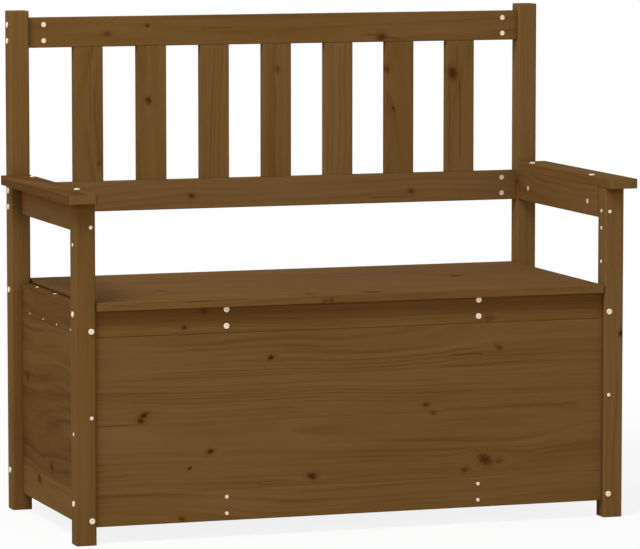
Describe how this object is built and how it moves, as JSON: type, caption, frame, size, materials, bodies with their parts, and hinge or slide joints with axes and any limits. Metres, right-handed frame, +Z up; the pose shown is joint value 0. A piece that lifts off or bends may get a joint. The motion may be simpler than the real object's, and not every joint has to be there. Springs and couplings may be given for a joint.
{
  "type": "storage bench",
  "caption": "Stained pine storage bench with a slatted back, flat armrests and a panelled box under a hinged seat lid.",
  "frame": {"origin": "on the floor, under the middle of the whole bench", "axes": "+X along the bench, to the right as seen from the front, +Y towards the back, +Z up"},
  "size_m": [1.124, 0.5152, 0.965],
  "materials": {
    "pine_boards": "brown stained, satin",
    "pine_panels": "brown stained, satin",
    "plated_steel": "pale zinc plating"
  },
  "bodies": {
    "frame": {"arm_rail_left": "pine_boards", "arm_rail_right": "pine_boards", "armrest_bolts": "plated_steel", "armrest_left": "pine_boards", "armrest_right": "pine_boards", "back_lower_rail": "pine_boards", "back_post_left": "pine_boards", "back_post_right": "pine_boards", "back_rail_bolts": "plated_steel", "back_slat_1": "pine_boards", "back_slat_2": "pine_boards", "back_slat_3": "pine_boards", "back_slat_4": "pine_boards", "back_slat_5": "pine_boards", "back_slat_6": "pine_boards", "back_slat_7": "pine_boards", "back_top_rail": "pine_boards", "barrel_nuts": "plated_steel", "box_rail_bolts": "plated_steel", "cross_rail_bolts": "plated_steel", "floor_board_1": "pine_panels", "floor_board_2": "pine_panels", "floor_board_3": "pine_panels", "floor_board_4": "pine_panels", "floor_cleat_left": "pine_panels", "floor_cleat_right": "pine_panels", "floor_cross_rail_left": "pine_boards", "floor_cross_rail_right": "pine_boards", "floor_rail_screws": "plated_steel", "front_bottom_rail": "pine_boards", "front_panel": "pine_panels", "front_post_left": "pine_boards", "front_post_right": "pine_boards", "front_top_rail": "pine_boards", "hinge_frame_leaf_left": "plated_steel", "hinge_frame_leaf_right": "plated_steel", "hinge_frame_screws": "plated_steel", "hinge_pin_left": "plated_steel", "hinge_pin_right": "plated_steel", "left_side_bottom_rail": "pine_boards", "left_side_panel": "pine_panels", "left_side_top_rail": "pine_boards", "post_screws": "plated_steel", "rear_bottom_rail": "pine_boards", "rear_panel": "pine_panels", "rear_top_rail": "pine_boards", "right_side_bottom_rail": "pine_boards", "right_side_panel": "pine_panels", "right_side_top_rail": "pine_boards", "seat_cross_rail_left": "pine_boards", "seat_cross_rail_right": "pine_boards", "side_rail_screws": "plated_steel"},
    "lid": {"hinge_lid_leaf_left": "plated_steel", "hinge_lid_leaf_right": "plated_steel", "hinge_lid_screws": "plated_steel", "lid_front_strip": "pine_boards", "lid_panel": "pine_panels"}
  },
  "joints": [
    {"name": "lid_hinge", "type": "hinge", "parent": "frame", "child": "lid", "pos_m": [0, 0.2482, 0.4397], "axis": [-1, 0, 0], "range_deg": [0, 77]}
  ]
}
